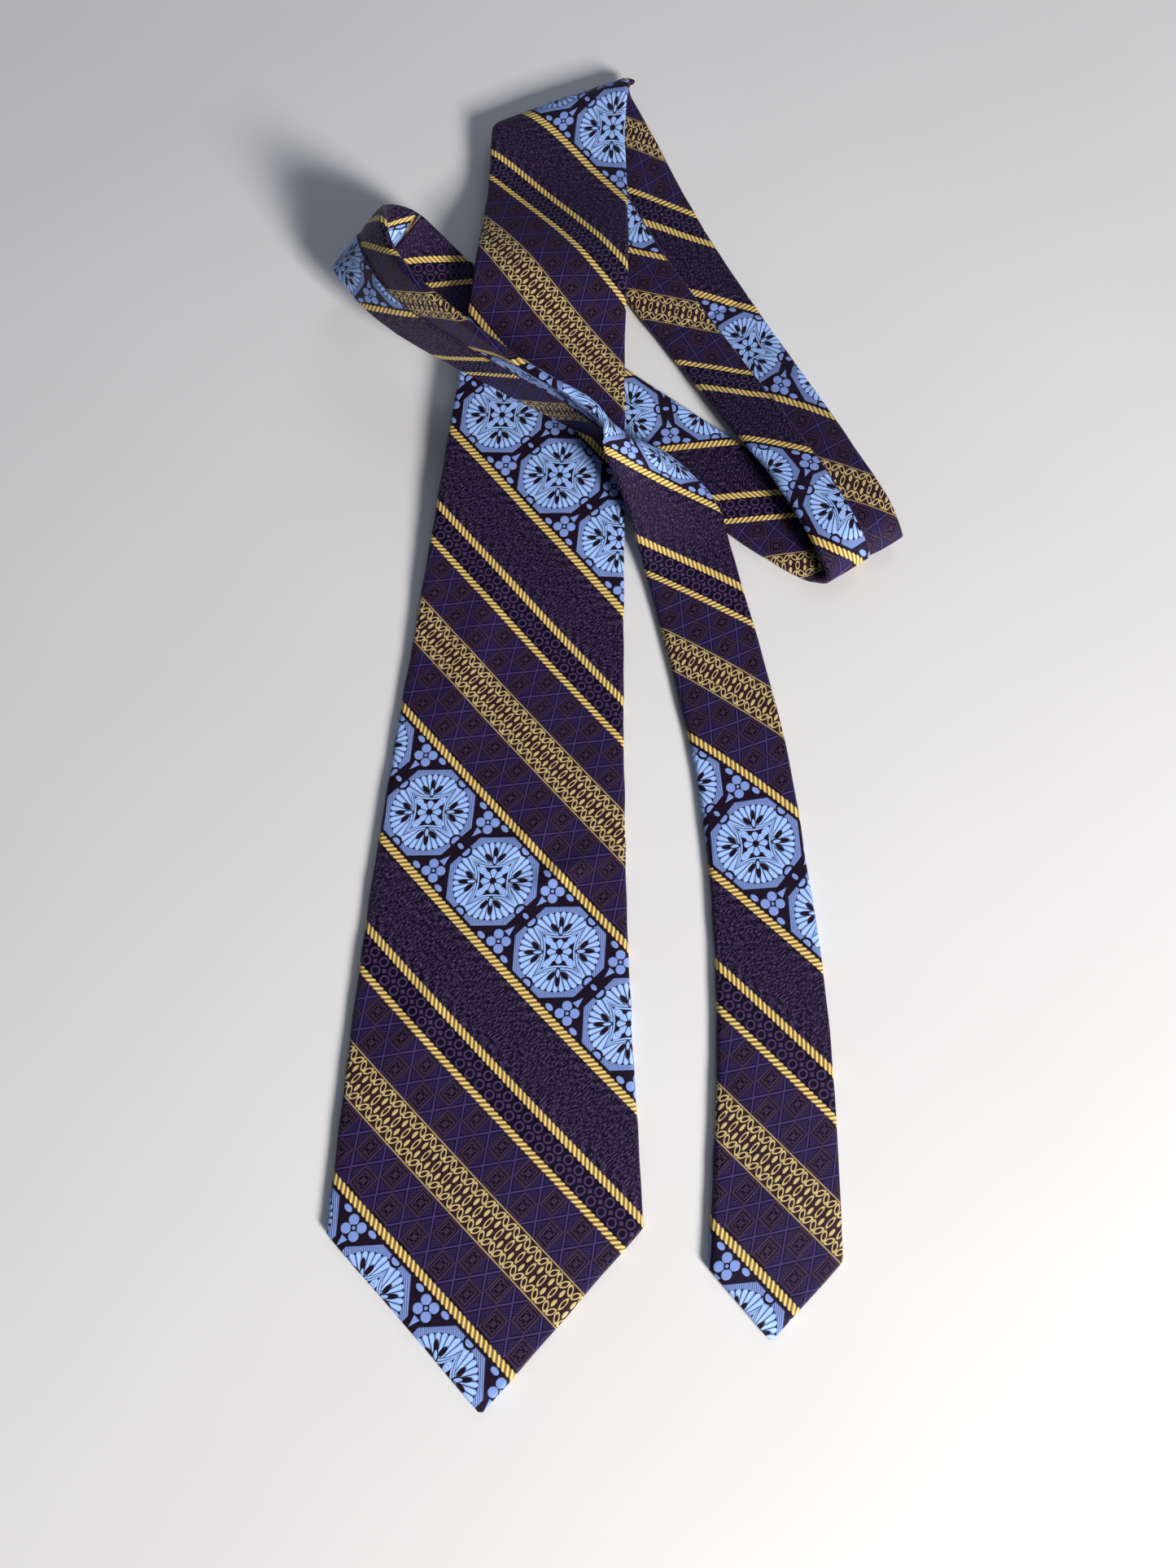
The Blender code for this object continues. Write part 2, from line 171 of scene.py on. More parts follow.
# ---- Looks of the strip -------------------------------------------------------------------
RING_STEP = 0.0013          # between two rings of a visible piece
TIP_STEP = 0.0004           # between rings in the last few millimetres of a point
OVERLAP = 0.0012            # the upper flap past the middle of the back
UNDERLAP = 0.0034           # the lower flap past the middle, under the upper one
SINK = 0.0007               # the lower flap inside the upper one
LAP_FROM = 0.0160           # the flaps start to overlap this far past a bar tack
LAP_OVER = 0.0200           # and overlap fully this much further on
CROWN = 0.00035             # the face stands this much fuller in the middle
BROAD_RIPPLE = 0.00022      # height of the broad waves of the cloth
BROAD_LENGTH = 0.034
FINE_RIPPLE = 0.00008       # and of the fine ones
FINE_LENGTH = 0.009
EDGE_RIPPLE = 0.00022       # how far the rolled edges wander
EDGE_LENGTH = 0.016
EDGE_FROM = 0.93            # share of the half width where the wandering starts
RELIEF_PAST = 0.35          # relief reaches this share of the half thickness past the middle
TURN_SOFT = 0.2             # slope over which one side of the strip stops facing up
SEAM_DIP = 0.0004           # depth of the groove at a joining seam
SEAM_SOFT = 0.0009          # and its reach along the strip
BEND_LENGTH = 0.0800        # how far past a hinge bend_at reads the lifted end's point
ROLL_AT = 1.0650            # where the strip turns over, its upper edge rolls back
ROLL_LENGTH = 0.0300        # over about this length to each side
ROLL_DROP = 0.0045          # and by this much at most
LEAST_HALF = TIP_FULL / 100  # keeps the half width above zero at a point
SWELLS = [
    # distance, spread, height: the blade's rise and dip at the hump, beyond the CAD strip's
    (0.3980, 0.0200, 0.0030),
    (0.4500, 0.0200, -0.0015),
]


# ---- Camera ----------------------------------------------------------------------------
CAMERA_AT = (-0.0083, -0.1726, 0.392)
CAMERA_TILT = 16.7
CAMERA_LENS = 27.09
CAMERA_SENSOR = 36.0


def make_camera():
    data = bpy.data.cameras.new("camera")
    data.lens = CAMERA_LENS
    data.sensor_width = CAMERA_SENSOR
    camera = bpy.data.objects.new("camera", data)
    camera.location = CAMERA_AT
    camera.rotation_euler = (math.radians(CAMERA_TILT), 0, 0)
    bpy.context.scene.collection.objects.link(camera)
    bpy.context.scene.camera = camera


# ---- The lay of the strip --------------------------------------------------------------
def catmull_rom(rows, steps):
    """Centripetal Catmull-Rom curve through the rows, whose first three values are a place."""
    knots = [0.0]
    for before, after in zip(rows, rows[1:]):
        knots.append(knots[-1] + math.sqrt(np.linalg.norm(after[:3] - before[:3])))
    knots = [2 * knots[0] - knots[1], *knots, 2 * knots[-1] - knots[-2]]
    rows = [2 * rows[0] - rows[1], *rows, 2 * rows[-1] - rows[-2]]
    curve = []
    for i in range(1, len(rows) - 2):
        p0, p1, p2, p3 = rows[i - 1:i + 3]
        t0, t1, t2, t3 = knots[i - 1:i + 3]
        for step in range(steps):
            t = t1 + (t2 - t1) * step / steps
            a1 = (p0 * (t1 - t) + p1 * (t - t0)) / (t1 - t0)
            a2 = (p1 * (t2 - t) + p2 * (t - t1)) / (t2 - t1)
            a3 = (p2 * (t3 - t) + p3 * (t - t2)) / (t3 - t2)
            b1 = (a1 * (t2 - t) + a2 * (t - t0)) / (t2 - t0)
            b2 = (a2 * (t3 - t) + a3 * (t - t1)) / (t3 - t1)
            curve.append((b1 * (t2 - t) + b2 * (t - t1)) / (t2 - t1))
    curve.append(rows[-2])
    return np.array(curve)


def unit(vectors):
    return vectors / np.linalg.norm(vectors, axis=-1, keepdims=True)


def travelled(points):
    steps = np.linalg.norm(np.diff(points, axis=0), axis=1)
    return np.concatenate([[0.0], np.cumsum(steps)])


def smooth(value, low, high):
    """0 below low, 1 above high, and a smooth step between them."""
    t = np.clip((value - low) / (high - low), 0, 1)
    return t * t * (3 - 2 * t)


def strip_width(s, length):
    places = [0, BLADE_POINT, WAIST_AT, FOLD_AT, NECK_FROM,
              length - TAIL_FROM, length - TAIL_POINT, length]
    widths = [0, BLADE_WIDTH, WAIST_WIDTH, FOLD_WIDTH, NECK_WIDTH,
              NECK_WIDTH, TAIL_WIDTH, 0]
    return np.interp(s, places, widths)


class Lay:
    """Where the strip lies: centreline, direction across and normal by distance."""

    def __init__(self):
        table = np.array(STATIONS)
        spread = TIE_LENGTH / STATION_LENGTH
        azimuth, tilt = np.radians(table[:, 3]), np.radians(table[:, 4])
        across = np.stack([np.cos(tilt) * np.cos(azimuth), np.cos(tilt) * np.sin(azimuth),
                           np.sin(tilt)], axis=1)
        low = (table[:, :3] - (*MIDDLE, 0)) * (spread, spread, LAYER)
        rows = catmull_rom(np.hstack([low, across * NECK_WIDTH]), FINE_STEPS)
        low, self.across = rows[:, :3], unit(rows[:, 3:])
        low[:, 2] = np.maximum(low[:, 2], 0.0) + THICKNESS / 2
        self.s = travelled(low)
        self.skew = np.ones(len(low))
        self.stand_on(low)
        square = np.linalg.norm(np.cross(self.across, self.along), axis=1)
        self.skew = np.maximum(square, MOST_SKEW)
        self.stand_on(low)
        self.length = self.s[-1]

    def stand_on(self, low):
        """Sets the centreline over the lower edge, with its distances and direction."""
        half = strip_width(self.s, self.s[-1]) / 2 / self.skew
        self.centre = low + np.outer(half * np.abs(self.across[:, 2]), (0, 0, 1))
        self.s = travelled(self.centre)
        self.along = unit(np.gradient(self.centre, axis=0))

    def read(self, rows, s):
        return np.stack([np.interp(s, self.s, rows[:, axis]) for axis in range(3)], axis=-1)

    def directions(self, s):
        """Across the strip and normal to its face at distances s."""
        across, along = unit(self.read(self.across, s)), unit(self.read(self.along, s))
        return across, unit(np.cross(across, along))

    def points(self, s, a, b):
        """Points a across and b normal to the strip at distances s, all of one shape."""
        across, normal = self.directions(s)
        skew = np.interp(s, self.s, self.skew)
        half = strip_width(s, self.length) / 2 + LEAST_HALF
        rolled = ROLL_DROP * np.exp(-((s - ROLL_AT) / ROLL_LENGTH) ** 2)
        b = b - rolled * np.clip(a / half, 0, 1) ** 2
        for place, spread, height in SWELLS:
            b = b + height * np.exp(-((s - place) / spread) ** 2)
        return self.read(self.centre, s) + across * (a / skew)[..., None] + normal * b[..., None]


LAY = Lay()
LENGTH = LAY.length


def half_width(s):
    return strip_width(s, LENGTH) / 2


def fullness(s):
    return np.minimum(1.0, half_width(s) / TIP_FULL)


def from_tip(s):
    return np.minimum(s, LENGTH - s)


def by_end(s, blade, tail):
    return np.where(s < LENGTH / 2, blade, tail)


def slit_half(s):
    """Half the opening between the back flaps, which part below each bar tack."""
    tack, point = by_end(s, BLADE_TACK, TAIL_TACK), by_end(s, BLADE_POINT, TAIL_POINT)
    shoulder = by_end(s, BLADE_WIDTH, TAIL_WIDTH) / 2
    hem = HEM * shoulder / (BLADE_WIDTH / 2)
    away = from_tip(s)
    share = np.clip((tack - away) / (tack - point), 0, 1)
    opened = np.where(away < point, half_width(s) - hem, share * (shoulder - hem))
    return np.maximum(SLIT / 2 * fullness(s), opened)


def lapped(s):
    """1 where the back flaps overlap, 0 near the open points."""
    start = by_end(s, BLADE_TACK, TAIL_TACK) + LAP_FROM
    return smooth(from_tip(s), start, start + LAP_OVER)


def ring_places(start, end):
    """Distances for rings from start to end, closer together near a point."""
    near = 8 * TIP_STEP
    places = list(np.linspace(start, end, max(3, int((end - start) / RING_STEP))))
    if start < TIP_FULL:
        places += list(np.arange(start, start + near, TIP_STEP))
    if end > LENGTH - TIP_FULL:
        places += list(np.arange(end - near, end, TIP_STEP))
    return np.array(sorted(set(places)))


# ---- Relief: the soft unevenness of cloth over a wool lining ------------------------------
def ripple(s, a, length, seed):
    """Uneven waves about as long as length, between -1 and 1."""
    total = 0
    for turn in range(5):
        angle = seed + 2.4 * turn
        wave = 2 * math.pi / length * (0.7 + 0.17 * turn)
        total = total + np.sin(wave * (s * math.cos(angle) + a * math.sin(angle)) + 1.7 * angle)
    return total / 5


CREASES = [
    # distance, across, direction from the strip's length, length, width, height
    (0.163, 0.018, 62, 0.016, 0.0035, 0.0011),
    (0.176, 0.008, 40, 0.012, 0.0045, 0.0008),
    (0.245, -0.016, 12, 0.030, 0.0060, 0.0009),
    (0.118, -0.022, 28, 0.022, 0.0060, 0.0008),
    (0.300, 0.012, -18, 0.026, 0.0070, 0.0008),
    (0.085, 0.020, -25, 0.020, 0.0070, 0.0007),
]
PUCKERS = [
    # distance, spread, height, wave length: where the strip bends hard
    (0.400, 0.018, 0.0006, 0.022),
    (0.652, 0.022, 0.0005, 0.011),
    (0.915, 0.030, 0.0004, 0.010),
    (1.050, 0.045, 0.0006, 0.012),
]


def facing_up(upright):
    """1 where a side of the strip faces up and 0 where it faces down, by its upward share."""
    return smooth(upright, -TURN_SOFT, TURN_SOFT)


def relief(s, a):
    """How far the face stands above its flat place, never below it."""
    half = half_width(s)
    rise = CROWN * (1 - np.minimum(1, np.abs(a) / half) ** 2) * fullness(s)
    broad, fine = ripple(s, a, BROAD_LENGTH, 0.4), ripple(s, a, FINE_LENGTH, 2.0)
    rise = rise + BROAD_RIPPLE * (1 + broad) + FINE_RIPPLE * fine
    for place, across, turn, long, wide, height in CREASES:
        angle = math.radians(turn)
        ahead = (s - place) * math.cos(angle) + (a - across) * math.sin(angle)
        aside = (a - across) * math.cos(angle) - (s - place) * math.sin(angle)
        rise = rise + height * np.exp(-(ahead / long) ** 2 - (aside / wide) ** 2)
    for place, spread, height, wave in PUCKERS:
        near = np.exp(-((s - place) / spread) ** 2)
        rise = rise + height * near * (0.5 + 0.5 * ripple(s, a, wave, 1.1))
    return rise


def groove(s):
    """Depth of the dip at a joining seam."""
    near = np.minimum(np.abs(s - BLADE_SEAM), np.abs(s - (LENGTH - TAIL_SEAM)))
    return SEAM_DIP * np.exp(-(near / SEAM_SOFT) ** 2)


# ---- Cross-sections ---------------------------------------------------------------------
FLAP_POINTS = 15
ROLL_POINTS = 8
FACE_POINTS = 31


def shell_side(s, side, out):
    """Across, normal and cloth distance from the slit to the rolled edge, on one side."""
    half, full, lap = half_width(s), fullness(s), lapped(s)
    roll = THICKNESS / 2 * full
    flat = half - roll
    reach = OVERLAP if side < 0 else UNDERLAP
    end = np.where(lap > 0, slit_half(s) * (1 - lap) - reach * lap, slit_half(s))
    rows = []
    for share in np.linspace(0, 1, FLAP_POINTS) ** 1.6:
        a = end + (flat - end) * share
        b = -(roll - out)
        if side > 0:
            b = b + SINK * lap * (1 - smooth(a, 0.001, 0.008))
        rows.append((side * a, b, side * (flat + math.pi * roll + flat - a)))
    for turn in np.linspace(-math.pi / 2, math.pi / 2, ROLL_POINTS)[1:-1]:
        a = flat + (roll - out) * math.cos(turn)
        rows.append((side * a, (roll - out) * math.sin(turn),
                     side * (flat + roll * (math.pi / 2 - turn))))
    return rows


def shell_rows(s):
    """Across, normal and cloth distance of the envelope's closed section at distances s."""
    loops = []
    for out in (0.0, 1.0):
        cloth = CLOTH * fullness(s) * out
        roll = THICKNESS / 2 * fullness(s)
        flat = half_width(s) - roll
        left, right = shell_side(s, -1, cloth), shell_side(s, 1, cloth)
        face = [(flat * k, roll - cloth, flat * k) for k in np.linspace(-1, 1, FACE_POINTS)]
        loops.append(left + face + right[::-1])
    outer, inner = loops
    rows = outer + inner[::-1]
    a, b, u = (np.stack([np.broadcast_to(row[k], s.shape) for row in rows], axis=1)
               for k in range(3))
    places = np.broadcast_to(s[:, None], a.shape)
    upright = LAY.directions(places)[1][..., 2]
    lift = np.clip(b / (THICKNESS / 2) + RELIEF_PAST, 0, 1) * facing_up(upright)
    sunk = np.clip(RELIEF_PAST - b / (THICKNESS / 2), 0, 1) * facing_up(-upright)
    b = b + (lift - sunk) * relief(places, a) - groove(places) * np.sign(b)
    edge = smooth(np.abs(a), half_width(places) * EDGE_FROM, half_width(places))
    a = a + EDGE_RIPPLE * edge * ripple(places, np.sign(a) * 0.02, EDGE_LENGTH, 0.9)
    return places, a, b, u


def layer_rows(s, top, thickness, points=13):
    """A flat closed layer inside the envelope."""
    reach = half_width(s) - THICKNESS / 2 - GAP * fullness(s)
    shares = np.linspace(-1, 1, points)
    upper = [(reach * k, np.full_like(s, top)) for k in shares]
    lower = [(a, np.full_like(s, top - thickness)) for a, b in upper[::-1]]
    a, b = (np.stack([row[k] for row in upper + lower], axis=1) for k in range(2))
    return np.broadcast_to(s[:, None], a.shape), a, b


# ---- Meshes ---------------------------------------------------------------------------
def loft(name, rings, cloth=None):
    """A closed piece through rings of points, whose first half and second half are its two
    skins.  cloth holds each point's place on the flat cloth, in millimetres."""
    count, around = rings.shape[:2]
    mesh = bpy.data.meshes.new(name)
    faces = []
    for i in range(count - 1):
        for j in range(around):
            k = (j + 1) % around
            faces.append((i * around + j, i * around + k, (i + 1) * around + k, (i + 1) * around + j))
    last = (count - 1) * around
    for j in range(around // 2 - 1):
        cap = (j, j + 1, around - 2 - j, around - 1 - j)
        faces.append(cap[::-1])
        faces.append(tuple(last + k for k in cap))
    mesh.from_pydata(rings.reshape(-1, 3).tolist(), [], faces)
    if cloth is not None:
        layer = mesh.uv_layers.new(name="Cloth")
        loops = np.zeros(len(mesh.loops), np.int32)
        mesh.loops.foreach_get("vertex_index", loops)
        layer.uv.foreach_set("vector", cloth.reshape(-1, 2)[loops].astype(np.float32).ravel())
    return finish_mesh(name, mesh)


def finish_mesh(name, mesh):
    work = bmesh.new()
    work.from_mesh(mesh)
    bmesh.ops.recalc_face_normals(work, faces=work.faces)
    if work.calc_volume(signed=True) < 0:
        bmesh.ops.reverse_faces(work, faces=work.faces)
    work.to_mesh(mesh)
    work.free()
    mesh.shade_smooth()
    mesh.set_sharp_from_angle(angle=math.radians(50))
    piece = bpy.data.objects.new(name, mesh)
    bpy.context.scene.collection.objects.link(piece)
    return piece


def tube(name, path, radius, sides=6):
    """A closed thread along a path."""
    along = unit(np.gradient(path, axis=0))
    helper = np.where(np.abs(along[:, 2:]) > 0.9, (1.0, 0, 0), (0, 0, 1.0))
    first = unit(np.cross(along, helper))
    second = np.cross(along, first)
    turns = np.arange(sides) * 2 * math.pi / sides
    rings = (path[:, None] + radius * (first[:, None] * np.cos(turns)[:, None]
                                       + second[:, None] * np.sin(turns)[:, None]))
    return loft(name, rings)


def joined(name, pieces):
    """Several pieces as one."""
    work = bmesh.new()
    for piece in pieces:
        work.from_mesh(piece.data)
        bpy.data.objects.remove(piece)
    mesh = bpy.data.meshes.new(name)
    work.to_mesh(mesh)
    work.free()
    return finish_mesh(name, mesh)


# ---- Materials ------------------------------------------------------------------------
class Wire:
    """A number that changes over the surface.  Arithmetic on it adds Math nodes."""

    def __init__(self, tree, socket):
        self.tree, self.socket = tree, socket

    def math(self, operation, *values, clamp=False):
        node = self.tree.nodes.new("ShaderNodeMath")
        node.operation, node.use_clamp = operation, clamp
        for socket, value in zip(node.inputs, values):
            if isinstance(value, Wire):
                self.tree.links.new(value.socket, socket)
            else:
                socket.default_value = value
        return Wire(self.tree, node.outputs[0])

    def __add__(self, other):
        return self.math("ADD", self, other)

    def __radd__(self, other):
        return self.math("ADD", self, other)

    def __sub__(self, other):
        return self.math("SUBTRACT", self, other)

    def __rsub__(self, other):
        return self.math("SUBTRACT", other, self)

    def __mul__(self, other):
        return self.math("MULTIPLY", self, other)

    def __rmul__(self, other):
        return self.math("MULTIPLY", self, other)

    def __abs__(self):
        return self.math("ABSOLUTE", self)

    def fold(self, half):
        """Distance to the nearest of the places 2 * half apart."""
        return self.math("PINGPONG", self, half)

    def wave(self, length):
        """A sine of that wave length, from -1 to 1."""
        return self.math("SINE", self * (2 * math.pi / length))

    def inside(self, soft):
        """1 where the value is above zero, with an edge as wide as soft."""
        return self.math("MULTIPLY_ADD", self, 1 / soft, 0.5, clamp=True)


def least(a, b):
    return a.math("MINIMUM", a, b)


def most(a, b):
    return a.math("MAXIMUM", a, b)


def root(a):
    return a.math("SQRT", a)


def oval(x, y, x0, y0, wide, high):
    """Below 1 within the oval, at its outline 1: the square of the relative distance."""
    across = (x - x0) * (1 / wide)
    up = (y - y0) * (1 / high)
    return across * across + up * up


def linear(red, green, blue):
    """A colour given as a display colour out of 255."""
    channels = [c / 255 for c in (red, green, blue)]
    return (*(c / 12.92 if c <= 0.04045 else ((c + 0.055) / 1.055) ** 2.4 for c in channels), 1.0)


def mixed(tree, share, low, high):
    """A colour between low and high; share is a Wire."""
    node = tree.nodes.new("ShaderNodeMix")
    node.data_type = "RGBA"
    tree.links.new(share.socket, node.inputs["Factor"])
    for socket, colour in zip((node.inputs[6], node.inputs[7]), (low, high)):
        if isinstance(colour, tuple):
            socket.default_value = colour
        else:
            tree.links.new(colour, socket)
    return node.outputs[2]


def new_material(name, roughness, sheen, tint, specular=0.5, sheen_roughness=0.4):
    material = bpy.data.materials.new(name)
    material.use_nodes = True
    shader = material.node_tree.nodes["Principled BSDF"]
    shader.inputs["Roughness"].default_value = roughness
    shader.inputs["Specular IOR Level"].default_value = specular
    shader.inputs["Sheen Weight"].default_value = sheen
    shader.inputs["Sheen Roughness"].default_value = sheen_roughness
    shader.inputs["Sheen Tint"].default_value = tint
    shader.inputs["Specular Tint"].default_value = tint
    return material, material.node_tree, shader


def add_bump(tree, shader, height, distance):
    bump = tree.nodes.new("ShaderNodeBump")
    bump.inputs["Strength"].default_value = 1.0
    bump.inputs["Distance"].default_value = distance
    tree.links.new(height.socket, bump.inputs["Height"])
    tree.links.new(bump.outputs[0], shader.inputs["Normal"])


# Bands of the woven pattern across the stripes, in millimetres from the medallions' middle.
REPEAT = 116.0
MEDALLION_STEP = 33.0
CORD_A = (-18.9, -16.3)
CORD_A2 = (16.3, 18.7)
CHAIN_MIDDLE = 42.0
CHAIN_HALF = 6.5
CORD_B2 = (64.3, 66.4)
NARROW = (66.4, 74.4)
CORD_B1 = (74.4, 76.8)
WAVE_MIDDLE = 87.0
WAVE_HALF = 10.1
LINK_HALF = 2.375           # half the step from one chain link to the next
DIAPER_HALF = 5.9           # half the step along a row of the diaper
DIAPER_ROW = 8.1            # height of one of its rows
FLORET_HALF = 2.3           # half the step along the narrow band

BLUE = linear(116, 150, 226)
# painted highlight along the middle of each shell fan rib
BLUE_RIB_HIGHLIGHT = linear(176, 208, 255)
BLUE_HATCH = linear(132, 156, 216)
GROUND = linear(28, 15, 27)
# pale and dark gold of the cords' strands: painted highlight and painted shade
GOLD_STRAND_LIT = linear(246, 216, 130)
GOLD_STRAND_SHADED = linear(122, 84, 30)
GOLD_PALE = linear(206, 182, 122)
CHAIN_GROUND = linear(48, 28, 30)
VIOLET = linear(66, 50, 98)
VIOLET_DARK = linear(15, 7, 24)
PLUM = linear(66, 44, 62)
SPECKLE = linear(80, 60, 94)


def medallion_figure(q, t):
    """Octagons with a flower and four shell fans, and small flowers in the notches."""
    x, y = q.fold(MEDALLION_STEP / 2), abs(t)
    flat = y * 0.93
    octagon = most(most(x, flat), (x + flat) * 0.69)
    radius = root(x * x + flat * flat)
    # shell fans: ribs that spread from the foot of each quadrant; spread also paints a highlight
    # along the middle of each rib
    foot_x, foot_y = x - 3.0, flat - 3.0
    turn = foot_x.math("ARCTAN2", foot_y, foot_x)
    spread = abs(turn.math("SINE", turn * 13))
    foot = root(foot_x * foot_x + foot_y * foot_y)
    figure = (foot * spread - 1.4).inside(1.4) * (12.1 + spread * 0.9 - radius).inside(0.3)
    # twill between the shells and the octagon's edge
    edging = (radius - 12.9).inside(0.3)
    hatch = ((q + t).wave(0.9) * 0.25 + 0.8) * edging
    figure = most(figure, hatch)
    # bands that sweep round the dark star, and the dark tulip in each fan
    star = x.math("POWER", x, 0.7) + x.math("POWER", flat, 0.7)
    bands = ((star - 4.35).fold(0.27) - 0.07).inside(0.1)
    figure = figure + (bands - figure) * (5.45 - star).inside(0.1)
    ahead, aside = (x + flat) * 0.7071, (x - flat) * 0.7071
    low, high = least(x, flat), most(x, flat)
    petals = least(oval(low, high, 4.0, 6.9, 0.85, 1.8), oval(ahead, aside, 9.3, 0, 2.0, 0.8))
    figure = least(figure, (petals - 1).inside(0.6))
    bud = oval(ahead, aside, 6.9, 0, 1.3, 0.55)
    figure = most(least(figure, (bud - 2.4).inside(0.6)), (1 - bud).inside(0.6))
    # the dark star, its axis leaves and the flower in the middle
    figure = figure * (star - 4.35).inside(0.08)
    figure = most(figure, (1 - oval(high, low, 5.1, 0, 1.85, 1.1)).inside(0.4))
    middle = x.math("ARCTAN2", flat, x)
    lobes = abs(middle.math("COSINE", middle * 4))
    flower = (3.0 + lobes * 0.95 - radius).inside(0.25) * (radius - 1.1).inside(0.25)
    figure = most(figure, flower * (lobes * radius - 0.5).inside(0.5))
    # ringed ovals where the octagon meets its neighbour and the cords
    ringed = root((high - 14.0) * (high - 14.0) + low * low)
    figure = figure * (ringed - 2.2).inside(0.3)
    figure = most(figure, (1 - oval(high, low, 13.6, 0, 0.95, 1.5)).inside(0.4))
    figure = figure * (14.15 - octagon).inside(0.25)
    # notches: a four-petal flower, a bud, two leaves and a dot
    out, up = MEDALLION_STEP / 2 - x, abs(y - 12.1)
    petals = root((out - 1.75) * (out - 1.75) + (up - 1.7) * (up - 1.7))
    notch = (1.62 - petals).inside(0.25)
    eye = root(out * out + up * up)
    notch = most(notch * (eye - 1.0).inside(0.25), (0.55 - eye).inside(0.2))
    notch = most(notch, ((y - 4.9) * 0.34 - out).inside(0.25) * (8.4 - y).inside(0.25))
    notch = most(notch, (1 - oval(x, y, 10.9, 14.8, 1.5, 0.95)).inside(0.4))
    notch = most(notch, (1 - oval(out, y, 0, 0, 1.2, 0.8)).inside(0.4))
    return most(figure, notch), edging, spread


def cord_strands(q, t, band, pitch, lean):
    """How lit the strands of a raised cord are, as painted highlight and shade, and where the cord
    is.
    """
    low, high = band
    off = t - (low + high) / 2
    strands = (q + off * lean).wave(pitch)
    where = ((high - low) / 2 + strands * 0.14 - abs(off)).inside(0.22)
    return strands, where


def chain_figure(q, t):
    """Interlocked links along both sides, upright links and seeds between, beaded borders."""
    y = t - CHAIN_MIDDLE
    peak = q.fold(LINK_HALF)
    valley = LINK_HALF - peak
    side = y.math("SIGN", y)
    along = (peak - valley) * 0.5 * side + LINK_HALF / 2
    height = abs(y) - 4.15
    lean, rise = math.sin(math.radians(28)), math.cos(math.radians(28))
    slope = height * side
    long = (slope * rise - (along - 1.22) * lean) * (1 / 1.9)
    wide = (slope * lean + (along - 1.22) * rise) * (1 / 0.95)
    link = abs(root(long * long + wide * wide) - 0.78)
    figure = (0.20 - link).inside(0.14)
    upright = abs(root(oval(valley, y, 0, 0, 0.78, 2.3)) - 0.78)
    figure = most(figure, (0.20 - upright).inside(0.14))
    figure = most(figure, (1 - oval(peak, abs(y), 0, 1.75, 0.55, 1.35)).inside(0.5))
    beads = (q.wave(1.04) * q.wave(1.04) - 0.25).inside(0.5)
    border = (0.24 - abs(abs(y) - 6.3)).inside(0.15) * beads
    return most(figure, border)


def diaper_figure(q, t):
    """Squares with a floret in turn with saltires, two rows on each side of the chain."""
    row = abs(t - CHAIN_MIDDLE) - CHAIN_HALF
    second = (row - DIAPER_ROW).inside(0.02)
    x = (q + second * DIAPER_HALF).fold(DIAPER_HALF)
    y = abs(row - DIAPER_ROW / 2 - second * DIAPER_ROW)
    framed = (2.95 - x).inside(0.2)
    # the square: a ribbed double frame round a floret of dots
    edge = most(x * 1.37, y)
    frame = (abs(edge - 2.9) - 0.2).inside(0.25) * (edge - 2.1).inside(0.3)
    frame = frame * (3.9 - edge).inside(0.2) * (q.wave(0.6) * 0.25 + 0.75)
    floret = (x.wave(1.5) * y.wave(1.7) - 0.1).inside(0.5)
    square = most(frame, floret * (1 - oval(x, y, 0, 0, 1.4, 2.2)).inside(0.5))
    # the saltire: light diagonals beside dark ones over fine twill
    out = DIAPER_HALF - x
    diagonal = abs(out * 1.37 - y)
    twill = (out + y).wave(1.0) * 0.25 + 0.35
    saltire = most(twill * (diagonal - 1.1).inside(0.4), (0.5 - diagonal).inside(0.3))
    return saltire + (square - saltire) * framed, framed


def wave_figure(q, t, speckle):
    """Curved strokes that show near both sides of a speckled ground."""
    y = t - WAVE_MIDDLE
    strokes = (q - y * y * 0.052).wave(4.6)
    near = (abs(y) - 7.0).inside(5.0)
    return (strokes * near * 0.22 + speckle * 1.9 - 1.14).inside(0.6)


def narrow_figure(q, t):
    """A row of ringed florets and small lozenges."""
    y = t - (NARROW[0] + NARROW[1]) / 2
    x = q.fold(FLORET_HALF)
    rings = abs(root(x * x + (abs(y) - 1.9) * (abs(y) - 1.9)) - 1.35)
    figure = (0.3 - rings).inside(0.2)
    lozenge = 0.9 - (FLORET_HALF - x) - abs(y)
    return most(figure, lozenge.inside(0.3))


def speckles(tree, q, p):
    """Short uneven floats along the warp."""
    place = tree.nodes.new("ShaderNodeCombineXYZ")
    tree.links.new((q * 2.0).socket, place.inputs[0])
    tree.links.new((p * 0.8).socket, place.inputs[1])
    node = tree.nodes.new("ShaderNodeTexNoise")
    node.noise_dimensions = "2D"
    node.inputs["Scale"].default_value = 1.0
    node.inputs["Detail"].default_value = 1.0
    tree.links.new(place.outputs[0], node.inputs["Vector"])
    return Wire(tree, node.outputs[0])


def band_mask(t, low, high):
    return ((high - low) / 2 - abs(t - (low + high) / 2)).inside(0.15)


